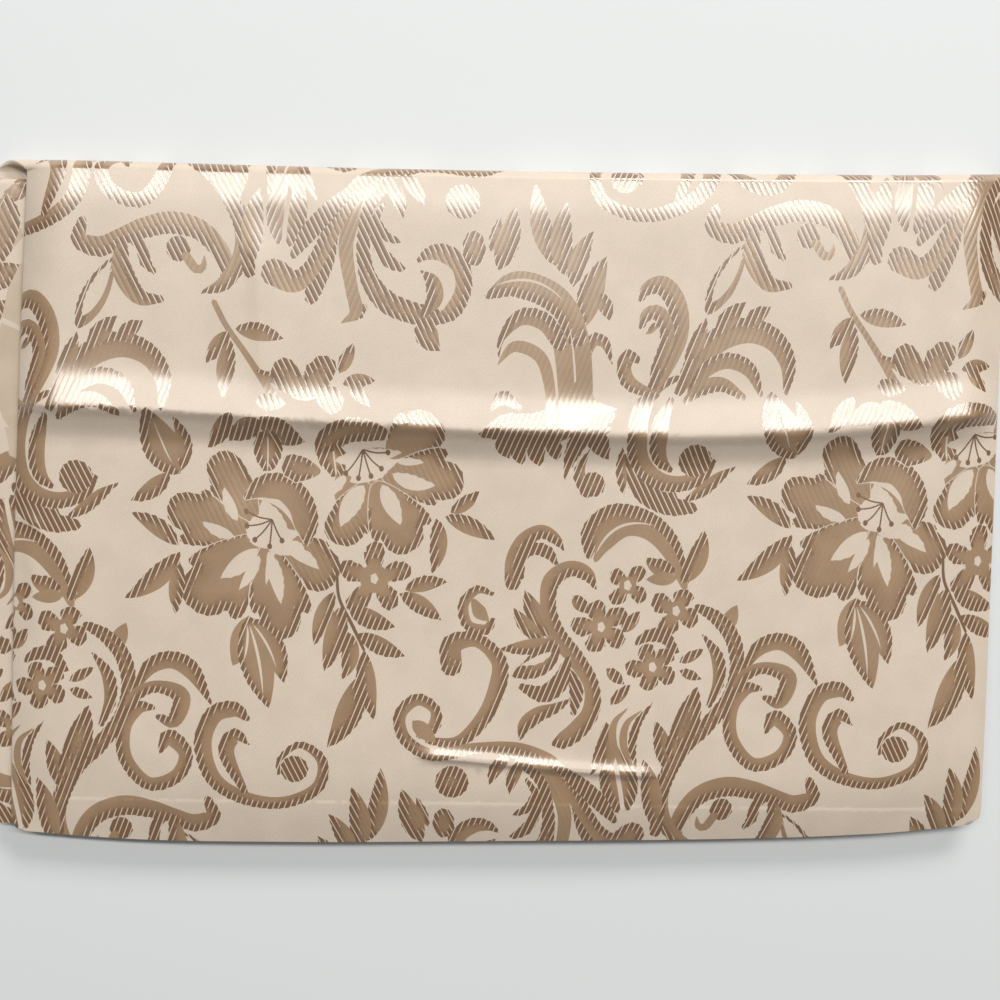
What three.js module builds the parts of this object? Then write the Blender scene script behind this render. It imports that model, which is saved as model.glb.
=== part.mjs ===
// A length of jacquard curtain cloth, folded flat for a shelf.
// Both long sides are turned under to meet in the middle, which makes a flat sleeve of two layers.
// The sleeve is folded crosswise: the top panel rolls over the far edge and runs back under the
// whole packet, turns up at the near edge, runs away and back once more inside, and ends there.
// Millimetres, +X to the right, +Y away from the hem that lies on top, +Z up, resting on z = 0.

import * as THREE from 'three';

// Driving sizes
const SHEET = 1.0; // thickness of the cloth
const GAP = 0.7; // air between two layers
const SPLIT = 4; // opening between the two turned-under sides
const SPLIT_X = 0; // where that opening runs
const HEM_DEPTH = 16; // depth of the turned hem across the near end of the top panel
const HEM_RISE = 0.5; // how far the hem stands above the panel
const CORNER = 7; // rounding of the top panel's two near corners
const SWELL = 4.6; // how far the loosely lying layers lift the middle of the packet
const SWELL_FAR = 30; // over this distance the swell falls to the rolled far edge
const SWELL_NEAR = 24; // and to the near edge
const SWELL_SIDE = 26; // and to each side

// Worked out from them
const SLEEVE = 2 * SHEET + GAP; // the sleeve's thickness
const PITCH = SLEEVE + GAP; // from one pass of the sleeve to the next
const HALF = SLEEVE / 2; // outer face of the sleeve from its middle
const INNER = GAP / 2; // inner face of the sleeve from its middle
const STACK = 3 * PITCH + SLEEVE; // height of the pressed packet

// The four passes of the sleeve, in their order along the cloth. Level 0 lies on the surface.
// near and far are how far the pass stops short of the packet's two end lines; each side's fold
// bends through its x at the near end, the middle and the far end.
const PASSES = [
  { level: 3, near: 0, far: 0, left: [-277, -271, -259], right: [284, 285, 285] },
  { level: 0, near: 4, far: 0, left: [-275, -286, -283], right: [282, 283, 283] },
  { level: 1, near: 4, far: 7, left: [-276, -289, -286], right: [280, 281, 282] },
  { level: 2, near: 3, far: 7, left: [-277, -291, -288], right: [281, 282, 281] },
];

// Where the passes' ends lie, and the crest of the ridge that crosses the top panel.
const END_LINES = [
  { x: -280, near: -190, crest: 54, far: 181.5 },
  { x: -215, near: -196, crest: 54, far: 180.5 },
  { x: -125, near: -199, crest: 40, far: 178.5 },
  { x: 0, near: -200, crest: 38, far: 176.5 },
  { x: 203, near: -199, crest: 36, far: 175.5 },
  { x: 226, near: -198, crest: 34, far: 175.5 },
  { x: 285, near: -193, crest: 51, far: 176.5 },
];

// The ridge in section: height over the top panel by distance from its crest, far side positive.
const RIDGE = [
  { away: -16, rise: 0 },
  { away: -9, rise: 0.6 },
  { away: -3, rise: 2.7 },
  { away: 0, rise: 3.8 },
  { away: 4, rise: 3.2 },
  { away: 11, rise: 1.3 },
  { away: 22, rise: 0 },
];

// Columns across the sleeve, as distances in from its left or right fold.
const LEFT_COLUMNS = [0, 6, 14, 26, 56, 146];
const RIGHT_COLUMNS = [81, 58, 26, 14, 6, 0];
const FOLD_STEPS = 4; // facets round a side fold

// Stations along a pass, as distances in from its near or far end.
const END_STATIONS = [0, 7, 15, 24];
const TOP_NEAR_STATIONS = [0, 3, 7, HEM_DEPTH - 1, HEM_DEPTH + 1, 30, 90];
const TOP_FAR_STATIONS = [75, 30, 22, 15, 8, 3, 0];
const WIDE_TURN_STEPS = 9; // facets round the rolled far edge
const TIGHT_TURN_STEPS = 5; // facets round each inner turn

/** The value of one column of a table, in straight runs between its rows. */
function lookUp(rows, key, value, at) {
  let i = 1;
  while (i < rows.length - 1 && rows[i][key] < at) i += 1;
  const [a, b] = [rows[i - 1], rows[i]];
  const mix = THREE.MathUtils.clamp((at - a[key]) / (b[key] - a[key]), 0, 1);
  return THREE.MathUtils.lerp(a[value], b[value], mix);
}

const nearLine = (x) => lookUp(END_LINES, 'x', 'near', x);
const farLine = (x) => lookUp(END_LINES, 'x', 'far', x);
const crestLine = (x) => lookUp(END_LINES, 'x', 'crest', x);

/** A side fold's x at the share s of the way from the near to the far end of a pass. */
function bend([near, middle, far], s) {
  return near * (1 - s) * (1 - 2 * s) + 4 * middle * s * (1 - s) + far * s * (2 * s - 1);
}

/** Falls from 1 to 0 over the given width, and goes on falling past the edge. */
function fall(inside, width) {
  const left = Math.max(0, 1 - inside / width);
  return 1 - left * left;
}

/** Lifts a point of the pressed stack to where it lies in the loose one. The lowest pass stays flat. */
function settle(x, y, z) {
  const height = Math.max(0, (z - SLEEVE) / (STACK - SLEEVE));
  const s = THREE.MathUtils.clamp((y - nearLine(x)) / (farLine(x) - nearLine(x)), 0, 1);
  const inside = Math.min(x - bend(PASSES[0].left, s), bend(PASSES[0].right, s) - x);
  const side = Math.max(0, fall(inside, SWELL_SIDE));
  const ends = Math.min(fall(farLine(x) - y, SWELL_FAR), fall(y - nearLine(x), SWELL_NEAR));
  const topSheet = THREE.MathUtils.clamp((z - STACK + SHEET + GAP) / GAP, 0, 1);
  const ridge = lookUp(RIDGE, 'away', 'rise', y - crestLine(x));
  return z + SWELL * side * ends * height * height + ridge * topSheet;
}

/** One station of the sweep: a line across the packet with its height and its outward normal. */
function station(yAt, z, normal, left, right, hem = 0) {
  return { yAt, z, normal, left, right, hem };
}

/** The stations of one pass, from its near end to its far end. */
function passStations(pass, direction) {
  const lines = pass.level === 3
    ? [
      ...TOP_NEAR_STATIONS.map((d) => (x) => nearLine(x) + d),
      ...RIDGE.map((row) => (x) => crestLine(x) + row.away),
      ...TOP_FAR_STATIONS.map((d) => (x) => farLine(x) - d),
    ]
    : [
      ...END_STATIONS.map((d) => (x) => nearLine(x) + pass.near + d),
      (x) => (nearLine(x) + farLine(x)) / 2,
      ...END_STATIONS.toReversed().map((d) => (x) => farLine(x) - pass.far - d),
    ];
  const z = HALF + pass.level * PITCH;
  return lines.map((yAt) => {
    const s = (yAt(0) - nearLine(0)) / (farLine(0) - nearLine(0));
    const inside = yAt(0) - nearLine(0);
    const round = pass.level === 3 ? Math.max(0, 1 - inside / CORNER) : 0;
    const inset = CORNER * (1 - Math.sqrt(1 - round * round));
    const hem = pass.level === 3 && inside < HEM_DEPTH ? HEM_RISE : 0;
    return station(yAt, z, [0, direction], bend(pass.left, s) + inset, bend(pass.right, s) - inset, hem);
  });
}

/** The stations round a turn from one pass to the next, without its two ends. */
function turnStations(from, to, atFar, steps) {
  const low = Math.min(from.level, to.level);
  const high = Math.max(from.level, to.level);
  const radius = ((high - low) * PITCH) / 2;
  const middle = HALF + ((high + low) * PITCH) / 2;
  const out = atFar ? 1 : -1;
  const first = from.level > to.level ? 1 : -1;
  const facing = out * first;
  return Array.from({ length: steps - 1 }, (_, i) => {
    const mix = (i + 1) / steps;
    const angle = mix * Math.PI;
    const [across, up] = [out * Math.sin(angle), first * Math.cos(angle)];
    const end = atFar
      ? (x) => farLine(x) - Math.max(from.far, to.far) + across * radius
      : (x) => nearLine(x) + Math.max(from.near, to.near) + across * radius;
    const s = atFar ? 1 : 0;
    const left = THREE.MathUtils.lerp(bend(from.left, s), bend(to.left, s), mix);
    const right = THREE.MathUtils.lerp(bend(from.right, s), bend(to.right, s), mix);
    return station(end, middle + radius * up, [facing * across, facing * up], left, right);
  });
}

/** Every station from the hem on top to the end inside. */
function allStations() {
  const [top, under, inner, last] = PASSES;
  return [
    ...passStations(top, 1),
    ...turnStations(top, under, true, WIDE_TURN_STEPS),
    ...passStations(under, -1).reverse(),
    ...turnStations(under, inner, false, TIGHT_TURN_STEPS),
    ...passStations(inner, 1),
    ...turnStations(inner, last, true, TIGHT_TURN_STEPS),
    ...passStations(last, -1).reverse(),
  ];
}

/** The sleeve's section from lip to lip, as x and a side of the middle, on a face that far from it. */
function sectionPoints(left, right, face) {
  const [leftHub, rightHub] = [left + HALF, right - HALF];
  const columns = [
    ...LEFT_COLUMNS.map((d) => leftHub + d),
    SPLIT_X,
    ...RIGHT_COLUMNS.map((d) => rightHub - d),
  ];
  const under = (list) => list.map((x) => [x, -face]);
  const round = (hub, start, turn) => Array.from({ length: FOLD_STEPS - 1 }, (_, i) => {
    const angle = start + (turn * (i + 1) * Math.PI) / FOLD_STEPS;
    return [hub + face * Math.cos(angle), face * Math.sin(angle)];
  });
  const before = LEFT_COLUMNS.length;
  return [
    [SPLIT_X - SPLIT / 2, -face],
    ...under(columns.slice(0, before).reverse()),
    ...round(leftHub, -Math.PI / 2, -1),
    ...columns.map((x) => [x, face]),
    ...round(rightHub, Math.PI / 2, -1),
    ...under(columns.slice(before + 1).reverse()),
    [SPLIT_X + SPLIT / 2, -face],
  ];
}

/** One row of vertices: the section on a face, placed at a station and settled. */
function placeRow({ yAt, z, normal, left, right, hem }, face) {
  const lift = face === HALF ? hem : 0;
  return sectionPoints(left, right, face).map(([x, side]) => {
    const reach = side > 0 ? side + lift * (side / HALF) : side;
    const y = yAt(x) + normal[0] * reach;
    return [x, y, settle(x, y, z + normal[1] * reach)];
  });
}

/** The closed solid of the cloth: its two faces, its two lips and its two ends. */
function clothGeometry() {
  const stations = allStations();
  const rows = [...stations.map((st) => placeRow(st, HALF)), ...stations.map((st) => placeRow(st, INNER))];
  const across = rows[0].length;
  const along = stations.length;
  const outer = (j, i) => j * across + i;
  const lining = (j, i) => (along + j) * across + i;
  const index = [];
  const quad = (a, b, c, d) => index.push(a, b, c, a, c, d);
  for (let j = 0; j < along - 1; j += 1) {
    for (let i = 0; i < across - 1; i += 1) {
      quad(outer(j, i), outer(j, i + 1), outer(j + 1, i + 1), outer(j + 1, i));
      quad(lining(j, i + 1), lining(j, i), lining(j + 1, i), lining(j + 1, i + 1));
    }
    quad(lining(j, 0), outer(j, 0), outer(j + 1, 0), lining(j + 1, 0));
    quad(outer(j, across - 1), lining(j, across - 1), lining(j + 1, across - 1), outer(j + 1, across - 1));
  }
  for (let i = 0; i < across - 1; i += 1) {
    quad(lining(0, i), lining(0, i + 1), outer(0, i + 1), outer(0, i));
    const end = along - 1;
    quad(outer(end, i), outer(end, i + 1), lining(end, i + 1), lining(end, i));
  }
  const geometry = new THREE.BufferGeometry();
  geometry.setAttribute('position', new THREE.Float32BufferAttribute(rows.flat(2), 3));
  geometry.setIndex(index);
  geometry.computeVertexNormals();
  return geometry;
}

const cloth = new THREE.Mesh(
  clothGeometry(),
  new THREE.MeshStandardMaterial({ color: 0xc9b59c, roughness: 0.55, metalness: 0 }),
);
cloth.name = 'folded_cloth';

const part = new THREE.Group();
part.add(cloth);

// The origin is the middle of the packet's box, on the surface that it rests on.
const middle = new THREE.Box3().setFromObject(part).getCenter(new THREE.Vector3());
cloth.position.set(-middle.x, -middle.y, 0);

export default part;
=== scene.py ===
import math
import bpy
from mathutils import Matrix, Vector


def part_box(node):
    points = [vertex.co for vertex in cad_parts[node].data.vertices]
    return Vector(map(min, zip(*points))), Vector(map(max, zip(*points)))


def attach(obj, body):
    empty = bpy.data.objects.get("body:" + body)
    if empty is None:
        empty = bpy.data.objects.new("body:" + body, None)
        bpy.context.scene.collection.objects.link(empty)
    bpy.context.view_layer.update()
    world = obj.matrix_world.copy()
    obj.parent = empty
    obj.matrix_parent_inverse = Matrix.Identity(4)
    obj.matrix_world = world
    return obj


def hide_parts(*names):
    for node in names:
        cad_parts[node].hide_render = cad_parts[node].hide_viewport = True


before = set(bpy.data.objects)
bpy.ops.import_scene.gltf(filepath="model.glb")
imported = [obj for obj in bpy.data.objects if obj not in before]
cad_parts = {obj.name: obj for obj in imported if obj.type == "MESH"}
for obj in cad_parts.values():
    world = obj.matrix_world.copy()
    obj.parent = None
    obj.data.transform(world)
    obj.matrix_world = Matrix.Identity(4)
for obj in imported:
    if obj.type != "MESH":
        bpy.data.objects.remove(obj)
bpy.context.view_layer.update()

from types import SimpleNamespace

import bpy
import numpy as np
from mathutils import Matrix, Vector, geometry


# ---- Camera -------------------------------------------------------------------------------------
# Held over the middle of the top panel and looking almost straight down, close enough that the
# panel's far edge looks narrower than its near one.

LOOK_AT = Vector((0.003, 0.006, 0.017))
TOWARDS_CAMERA = Vector((-0.0312, 0.0874, 0.9957)).normalized()
DISTANCE = 0.650
LENS = 41.5  # mm, on a 36 mm sensor

camera = bpy.data.objects.new("camera", bpy.data.cameras.new("camera"))
bpy.context.scene.collection.objects.link(camera)
camera.data.lens = LENS
camera.data.sensor_width = 36
camera.data.clip_start = 0.01
camera_right = Vector((TOWARDS_CAMERA.z, 0, -TOWARDS_CAMERA.x)).normalized()
camera_up = TOWARDS_CAMERA.cross(camera_right)
turn = Matrix((camera_right, camera_up, TOWARDS_CAMERA)).transposed().to_4x4()
camera.matrix_world = Matrix.Translation(LOOK_AT + TOWARDS_CAMERA * DISTANCE) @ turn
bpy.context.scene.camera = camera


# ---- How the cloth lies -------------------------------------------------------------------------
# One length of furnishing jacquard. Both long sides are turned under to meet in the middle, which
# makes a flat sleeve, and the sleeve is folded crosswise: over the far edge, back under the whole
# packet, up at the near edge, away and back once more inside. Millimetres until it is meshed.

SHEET = 0.7  # thickness of the cloth as it looks
GAP = 0.7  # air between two layers
CAD_SHEET = 1.0
SPLIT = 4  # opening between the two turned-under sides, under the middle of each pass
CORNER = 7  # rounding of the top panel's two near corners
SLEEVE = 2 * CAD_SHEET + GAP
PITCH = SLEEVE + GAP
HALF = SLEEVE / 2  # outer face of the sleeve from its middle
STACK = 3 * PITCH + SLEEVE
TIGHT = PITCH / 2  # radius of the two inner turns, at the sleeve's middle
WIDE = 1.5 * PITCH  # radius of the rolled far edge

# The four passes of the sleeve in their order along the cloth: how far each stops short of the
# packet's near and far end lines, and each side fold's x at its near end, middle and far end.
PASSES = [
    dict(level=3, away=True, near=0, far=0, left=(-281, -272, -259), right=(284, 285, 285)),
    dict(level=0, away=False, near=4, far=0, left=(-287, -287, -283), right=(282, 283, 283)),
    dict(level=1, away=True, near=4, far=7, left=(-288, -289, -286), right=(280, 281, 282)),
    dict(level=2, away=False, near=3, far=7, left=(-289, -291, -288), right=(281, 282, 281)),
]

END_X = [-280, -215, -125, 0, 203, 226, 285]
NEAR_Y = [-190, -196, -199, -200, -199, -198, -193]
FAR_Y = [181.5, 180.5, 178.5, 176.5, 175.5, 175.5, 176.5]

# How far the loosely lying layers lift the middle, and over what distance that falls off.
SWELL = 4.6
SWELL_BEYOND = 4.4  # how much more the half beyond the ridge is lifted
SWELL_FAR = 15
FAR_SHARE = 0.23  # share of the lift that the far edge loses
CROWN = 2.4  # a further lift along the near edge: its height, where it is highest and how wide it is
CROWN_Y = -148
CROWN_WIDE = 62
CROWN_LEFT = -290  # it grows from here rightwards, over CROWN_GROWS
CROWN_GROWS = 150
FACET = 5  # the larger, the flatter the margin along the far edge
NEAR_FALL = [74, 62, 48, 42, 42, 44, 50]
SWELL_SIDE = 26

# The ridge across the top panel, left by an earlier fold: its crest, how high it stands there, and
# how far its two flanks run out. The far one is the longer and gentler.
CREST_X = [-280, -180, -80, 20, 110, 200, 285]
CREST_Y = [54, 50, 43, 38, 36, 40, 49]
RIDGE_X = [-280, -168, 0, 203, 285]
CREST_RISE = [4.9, 4.5, 4.3, 4.4, 4.7]
CREST_FAR = [20, 18.5, 17.8, 18, 19.3]
CREST_ROUND = [0.8, 0.9, 1.5, 2.4, 2.0]
CREST_NEAR = 3.9
CREST_SLIDE = 19  # how far the gentle lower part of the near flank runs
SLIDE_SHARE = 0.52  # share of the rise that it takes
FOOT_ROUND = 7  # the larger, the sharper the flanks' feet

# The smaller creases, as soft ridges. One that runs "x" is a list of (x, y) from left to right,
# one that runs "y" from near to far. before and after are its widths on its two sides.
CREASES = [
    dict(runs="x", path=[(-52, -146), (-19, -149), (43, -156), (96, -160)],
         rise=2.35, before=2.2, after=4.6, fade=16),
    dict(runs="x", path=[(-150, 46), (-130, 40), (-104, 39)], rise=1.2, before=5, after=8, fade=16),
    dict(runs="y", path=[(-130, 45), (-131, 100), (-133, 160)], rise=1.3, before=6, after=14, fade=30),
    dict(runs="y", path=[(-147, -150), (-147, -60), (-148, 15)], rise=1.6, before=20, after=9, fade=40),
    dict(runs="x", path=[(-276, -6), (-266, -10), (-252, -19)], rise=1.4, before=3, after=5, fade=9),
    dict(runs="y", path=[(-263, -80), (-262, -50), (-265, -20)], rise=1.1, before=5, after=6, fade=18),
]

HEM_X = [-280, -140, 0, 234, 285]
HEM_Y = [-171, -174, -177, -183.5, -184]
HEM_RISE = 0.32  # the hem's turned-in edge lifts the panel by this much
HEM_SOFT = 2.2  # width of the step
CALM = 20  # the waviness dies away over this last width at the side folds


def flowing(at, xs, ys):
    """A smooth curve through a table's rows, level beyond its ends."""
    xs, ys = np.asarray(xs, float), np.asarray(ys, float)
    slopes = np.gradient(ys, xs)
    i = np.clip(np.searchsorted(xs, at) - 1, 0, len(xs) - 2)
    step = xs[i + 1] - xs[i]
    t = np.clip((at - xs[i]) / step, 0, 1)
    start = ys[i] * (1 + 2 * t) * (1 - t) ** 2 + slopes[i] * step * t * (1 - t) ** 2
    return start + ys[i + 1] * t * t * (3 - 2 * t) + slopes[i + 1] * step * t * t * (t - 1)


def near_line(x):
    return flowing(x, END_X, NEAR_Y)


def far_line(x):
    return flowing(x, END_X, FAR_Y)


def bend(fold, s):
    """A side fold's x at the share s of the way from near to far."""
    near, middle, far = fold
    return near * (1 - s) * (1 - 2 * s) + 4 * middle * s * (1 - s) + far * s * (2 * s - 1)


def ease(t):
    t = np.clip(t, 0, 1)
    return t * t * (3 - 2 * t)


def fall(inside, width, share=1.0):
    """1 far inside, losing its share over the last width, and more past the edge."""
    return 1 - share * np.maximum(0, 1 - inside / width) ** 2


def crease_height(row, x, y):
    path = np.array(row["path"], float)
    along, across = (x, y) if row["runs"] == "x" else (y, x)
    at, line = (path[:, 0], path[:, 1]) if row["runs"] == "x" else (path[:, 1], path[:, 0])
    off = across - flowing(along, at, line)
    width = np.where(off < 0, row["before"], row["after"])
    ends = ease((along - at[0]) / row["fade"]) * ease((at[-1] - along) / row["fade"])
    return row["rise"] * np.exp(-((off / width) ** 2)) * ends


def facet(left, flatness):
    """A straight slope with a rounded foot: 1 where it is highest, with left the share still to go."""
    return np.logaddexp(0, flatness * left) / np.logaddexp(0, flatness)


def ridge_height(x, y):
    off = y - flowing(x, CREST_X, CREST_Y)
    soft = flowing(x, RIDGE_X, CREST_ROUND)
    out = np.sqrt(off**2 + soft**2) - soft
    far = facet(1 - out / flowing(x, RIDGE_X, CREST_FAR), FOOT_ROUND)
    slide = np.maximum(0, 1 - out / CREST_SLIDE) ** 2
    near = (1 - SLIDE_SHARE) * facet(1 - out / CREST_NEAR, FOOT_ROUND) + SLIDE_SHARE * slide
    return flowing(x, RIDGE_X, CREST_RISE) * np.where(off < 0, near, far)


def beyond(x, y):
    """0 on this side of the ridge, 1 beyond it."""
    return ease(1 + (y - flowing(x, CREST_X, CREST_Y)) / CREST_SLIDE)


def unrest(x, y):
    """The slight waviness of a panel that was never ironed."""
    slow = 0.22 * np.sin(x / 41 + 1.3) * np.sin(y / 33 + 0.4) + 0.14 * np.sin((x + 1.7 * y) / 27)
    return slow + 0.05 * np.sin((x - 0.6 * y) / 9.5 + 2) * np.sin((y + 0.4 * x) / 12)


def settle(x, y, z):
    """Lifts a point of the pressed stack to where it lies in the loose one. The lowest pass stays flat."""
    near, far = near_line(x), far_line(x)
    height = np.maximum(0, (z - SLEEVE) / (STACK - SLEEVE))
    s = np.clip((y - near) / (far - near), 0, 1)
    inside = np.minimum(x - bend(PASSES[0]["left"], s), bend(PASSES[0]["right"], s) - x)
    side = np.maximum(0, fall(inside, SWELL_SIDE))
    at_far = 1 - FAR_SHARE * facet(1 - (far - y) / SWELL_FAR, FACET)
    ends = np.minimum(at_far, fall(y - near, flowing(x, END_X, NEAR_FALL)))
    crown = CROWN * np.exp(-(((y - CROWN_Y) / CROWN_WIDE) ** 2)) * ease((x - CROWN_LEFT) / CROWN_GROWS)
    lift = (SWELL + SWELL_BEYOND * beyond(x, y) + crown) * side * ends
    top_sheet = np.clip((z - STACK + CAD_SHEET + GAP) / GAP, 0, 1)
    rise = ridge_height(x, y)
    for row in CREASES:
        rise = rise + crease_height(row, x, y)
    rise = rise + unrest(x, y) * np.clip(inside / CALM, 0, 1)
    rise = rise - HEM_RISE * ease((y - flowing(x, HEM_X, HEM_Y)) / HEM_SOFT)
    return z + lift * height * height + (rise + HEM_RISE) * top_sheet * side


def legs():
    """The passes and turns in their order along the cloth."""
    top, under, inner, last = PASSES
    return [
        SimpleNamespace(turn=False, here=top),
        SimpleNamespace(turn=True, here=top, to=under, radius=WIDE, outer=WIDE + HALF, at_far=True),
        SimpleNamespace(turn=False, here=under),
        SimpleNamespace(turn=True, here=under, to=inner, radius=TIGHT, outer=TIGHT, at_far=False),
        SimpleNamespace(turn=False, here=inner),
        SimpleNamespace(turn=True, here=inner, to=last, radius=TIGHT, outer=TIGHT, at_far=True),
        SimpleNamespace(turn=False, here=last),
    ]


LEGS = legs()


def leg_length(leg, near, far):
    if leg.turn:
        return np.full_like(near, math.pi * leg.outer)
    return far - near - leg.here["near"] - leg.here["far"]


def leg_starts(x):
    """Where each leg starts along the cloth, and where the last one ends, at each x."""
    near, far = near_line(x), far_line(x)
    starts = [near]
    for leg in LEGS:
        starts.append(starts[-1] + leg_length(leg, near, far))
    return starts


def route(x, v):
    """The sleeve's middle at the distance v along it: y, z, outward normal and its two side folds."""
    near, far = near_line(x), far_line(x)
    starts = leg_starts(x)
    found = np.zeros((6, len(v)))
    for number, leg in enumerate(LEGS):
        here = v >= starts[number] if number else np.full(len(v), True)
        t, near_h, far_h = (v - starts[number])[here], near[here], far[here]
        row = leg.here
        way = 1 if row["away"] else -1
        if not leg.turn:
            y = near_h + row["near"] + t if row["away"] else far_h - row["far"] - t
            s = (y - near_h) / (far_h - near_h)
            left, right = bend(row["left"], s), bend(row["right"], s)
            if number == 0:
                corner = np.clip(1 - t / CORNER, 0, 1)
                inset = CORNER * (1 - np.sqrt(1 - corner**2))
                left, right = left + inset, right - inset
            z = np.full_like(y, HALF + row["level"] * PITCH)
            found[:, here] = [y, z, np.zeros_like(y), np.full_like(y, way), left, right]
            continue
        angle = t / leg.outer
        out = 1 if leg.at_far else -1
        down = 1 if row["level"] > leg.to["level"] else -1
        sine, cosine = out * np.sin(angle), down * np.cos(angle)
        edge = far_h - row["far"] if leg.at_far else near_h + row["near"]
        middle = HALF + (row["level"] + leg.to["level"]) * PITCH / 2
        mix = np.clip(angle / math.pi, 0, 1)
        s = 1.0 if leg.at_far else 0.0
        left = bend(row["left"], s) * (1 - mix) + bend(leg.to["left"], s) * mix
        right = bend(row["right"], s) * (1 - mix) + bend(leg.to["right"], s) * mix
        found[:, here] = [
            edge + sine * leg.radius,
            middle + cosine * leg.radius,
            out * down * sine,
            out * down * cosine,
            left,
            right,
        ]
    return found


FOLD_ARC = math.pi * HALF  # length of cloth round a side fold


def lie(u, v, face):
    """Where the cloth's point (u, v) lies, on the face that far from the sleeve's middle. On the top
    panel u is x and v is y, and past a fold or a turn they go on along the cloth."""
    x = np.clip(u, -270, 280)
    for _ in range(3):
        y, z, ny, nz, left, right = route(x, v)
        hub_left, hub_right = left + HALF, right - HALF
        past_left, past_right = hub_left - u, u - hub_right
        x = np.where(past_left > FOLD_ARC, hub_left + past_left - FOLD_ARC, u)
        x = np.where(past_right > FOLD_ARC, hub_right - past_right + FOLD_ARC, x)
        round_left = (past_left > 0) & (past_left <= FOLD_ARC)
        round_right = (past_right > 0) & (past_right <= FOLD_ARC)
        angle = np.where(round_left, past_left, past_right) / HALF
        x = np.where(round_left, hub_left - face * np.sin(angle), x)
        x = np.where(round_right, hub_right + face * np.sin(angle), x)
    side = np.where((past_left > FOLD_ARC) | (past_right > FOLD_ARC), -face, face)
    side = np.where(round_left | round_right, face * np.cos(angle), side)
    y, z = y + ny * side, z + nz * side
    return np.stack([x, y, settle(x, y, z)], 1)


def fold_lines(v):
    """The four lines along the cloth that bound its side folds and its two lips, at each v."""
    x = np.zeros_like(v)
    left, right = route(x, v)[4:]
    for _ in range(2):
        left, right = route(left, v)[4], route(right, v)[5]
    hub_left, hub_right = left + HALF, right - HALF
    lip_left = 2 * hub_left - FOLD_ARC + SPLIT / 2
    lip_right = 2 * hub_right + FOLD_ARC - SPLIT / 2
    return lip_left, hub_left, hub_right, lip_right


# ---- The woven design ---------------------------------------------------------------------------
# An old furnishing damask of peonies, leaf sprays and acanthus scrolls. Weft floats make the
# motifs, and thin slanting lines of ground bind their edges. Each motif is drawn in its own few
# sizes, millimetres on the cloth. The unit repeats across, and is mirrored and shifted along it.

REPEAT = 346.0
GLIDE_ACROSS = -48.0  # a mirrored unit's x is this minus the unit's own
GLIDE_ALONG = 326.0
SKEW = math.radians(1.354)  # the cloth was folded this far off its grain
STEP = 2.2  # length of one facet of an outline
THIN = 0.3  # rim of an edge with no binding lines
RAGGED = 0.28  # how far the ends of the floats stand in and out along a bound edge


def curve_through(points, closed=False):
    """Points along a smooth curve through the rows, with all their columns."""
    p = np.array(points, float)
    n = len(p)
    out = []
    for i in range(n if closed else n - 1):
        a = p[(i - 1) % n] if closed or i else 2 * p[0] - p[1]
        b, c = p[i], p[(i + 1) % n]
        d = p[(i + 2) % n] if closed or i < n - 2 else 2 * p[-1] - p[-2]
        k = max(2, round(float(np.hypot(*(c - b)[:2])) / STEP))
        t = np.arange(k)[:, None] / k
        out.append(
            b + (c - a) * t / 2
            + (2 * a - 5 * b + 4 * c - d) * t**2 / 2
            + (3 * b - 3 * c + d - a) * t**3 / 2
        )
    if not closed:
        out.append(p[-1:])
    return np.concatenate(out)


def shape(edge, rim, slant, ground=False):
    """A closed outline with the depth of its bound rim at each point, ragged where it is bound."""
    rim = np.broadcast_to(np.asarray(rim, float), len(edge))
    run = np.roll(edge, -1, 0) - np.roll(edge, 1, 0)
    out = np.stack([run[:, 1], -run[:, 0]], 1) / np.maximum(np.hypot(*run.T), 1e-6)[:, None]
    ragged = np.where((rim > 1.5) & (slant != 0), RAGGED, 0) * (-1.0) ** np.arange(len(edge))
    edge = edge + out * ragged[:, None]
    apart = np.hypot(*(edge - np.roll(edge, 1, 0)).T) > 0.5
    return SimpleNamespace(edge=edge[apart], rim=rim[apart], slant=slant, ground=ground)


def two_sides(line, half, rim, bound):
    """An outline round a middle line, and its rim, bound on its 'left', 'right', 'outer' side or
    on 'both'. The outer side is the one that the line bends away from."""
    run = np.gradient(line, axis=0)
    run /= np.hypot(*run.T)[:, None]
    side = np.stack([-run[:, 1], run[:, 0]], 1) * half[:, None]
    if bound == "outer":
        turning = np.sum(run[:-1, 0] * run[1:, 1] - run[:-1, 1] * run[1:, 0])
        bound = "right" if turning > 0 else "left"
    left = np.full(len(line), rim if bound != "right" else THIN)
    right = np.full(len(line), rim if bound != "left" else THIN)
    return line + side, (line - side)[::-1], left, right[::-1]


def leaf_lines(base, tip, wide, bow):
    """A leaf's middle line, and its half width along it."""
    a, b = np.array(base, float), np.array(tip, float)
    length = float(np.hypot(*(b - a)))
    t = np.linspace(0, 1, max(6, round(length / STEP)))
    across = np.array([a[1] - b[1], b[0] - a[0]]) / length
    line = a + (b - a) * t[:, None] + across * (4 * t * (1 - t) * bow)[:, None]
    half = wide / 2 * np.sin(math.pi * t**0.85) ** 0.8
    half[[0, -1]] = 0
    return line, half


def leaf(base, tip, wide, bow=0, rim=None, bound="left", slant=1, ground=False):
    """A pointed leaf from base to tip, bowed to its left by bow, one side of it bound."""
    line, half = leaf_lines(base, tip, wide, bow)
    left, right, rim_left, rim_right = two_sides(line, half, rim or wide * 0.45, bound)
    return shape(np.concatenate([left, right]), np.concatenate([rim_left, rim_right]), slant, ground)


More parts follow.
